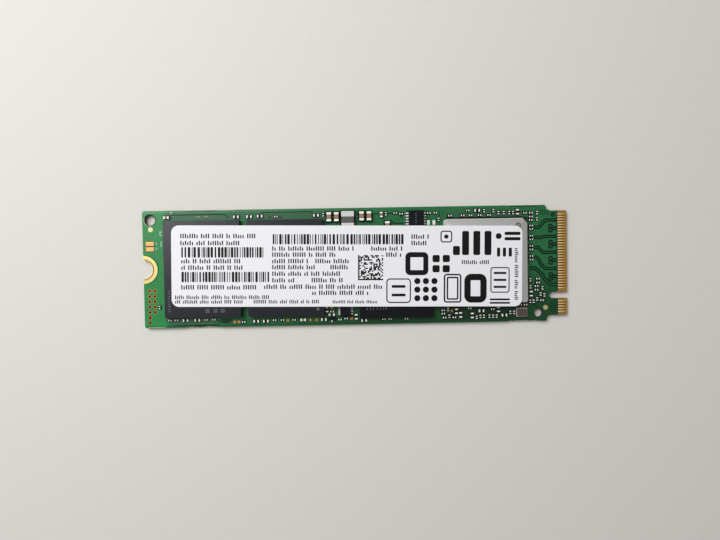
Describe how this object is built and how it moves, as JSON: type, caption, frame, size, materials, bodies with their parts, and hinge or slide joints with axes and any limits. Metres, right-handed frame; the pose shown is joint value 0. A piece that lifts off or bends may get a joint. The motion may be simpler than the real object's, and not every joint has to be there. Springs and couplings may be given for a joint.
{
  "type": "gumstick solid state drive",
  "caption": "Narrow keyed circuit card with flash memory, working memory and a lidded controller under one label, an edge connector at one end and a half-round screw notch at the other.",
  "frame": {"origin": "middle of the card's underside", "axes": "+X along the card towards the edge connector, +Y across it, +Z out of the component side"},
  "size_m": [0.08, 0.022, 0.0022],
  "materials": {
    "solder_mask": "semi-gloss",
    "gold_plating": "satin",
    "bare_copper": "satin",
    "tin": "satin",
    "solder": "satin",
    "mould_compound": "matte",
    "dark_mould_compound": "matte",
    "package_laminate": "satin",
    "nickel_plate": "satin",
    "silicon": "gloss",
    "tray_ceramic": "matte",
    "ferrite": "matte",
    "capacitor_ceramic": "satin",
    "resistor_glaze": "satin",
    "label_paper": "matte"
  },
  "bodies": {
    "root": {"circuit_board": "solder_mask", "top_edge_contacts": "gold_plating", "bottom_edge_contacts": "gold_plating", "screw_notch_plating": "gold_plating", "test_header_plating": "gold_plating", "fiducial_pads": "gold_plating", "probe_pads": "bare_copper", "spare_copper_pads": "bare_copper", "spare_tinned_pads": "tin", "flash_package_1": "mould_compound", "flash_package_2": "mould_compound", "flash_substrate_1": "package_laminate", "flash_substrate_2": "package_laminate", "flash_ball_grid_1": "solder", "flash_ball_grid_2": "solder", "dram_package": "dark_mould_compound", "dram_substrate": "package_laminate", "dram_ball_grid": "solder", "controller_lid": "nickel_plate", "controller_die": "silicon", "controller_substrate": "package_laminate", "controller_ball_grid": "solder", "power_chip_body": "dark_mould_compound", "power_chip_pads": "tin", "switch_chip_body": "dark_mould_compound", "switch_chip_leads": "tin", "sensor_chip_body": "dark_mould_compound", "sensor_chip_leads": "tin", "transistor_body": "dark_mould_compound", "transistor_leads": "tin", "crystal_base": "tray_ceramic", "crystal_lid": "nickel_plate", "inductor_body": "ferrite", "inductor_ends": "tin", "bulk_capacitor_bodies": "capacitor_ceramic", "bulk_capacitor_ends": "tin", "small_capacitor_bodies": "capacitor_ceramic", "small_capacitor_ends": "tin", "chip_resistor_bodies": "resistor_glaze", "chip_resistor_ends": "tin", "tiny_chip_bodies": "capacitor_ceramic", "tiny_chip_ends": "tin", "label": "label_paper"}
  },
  "joints": []
}
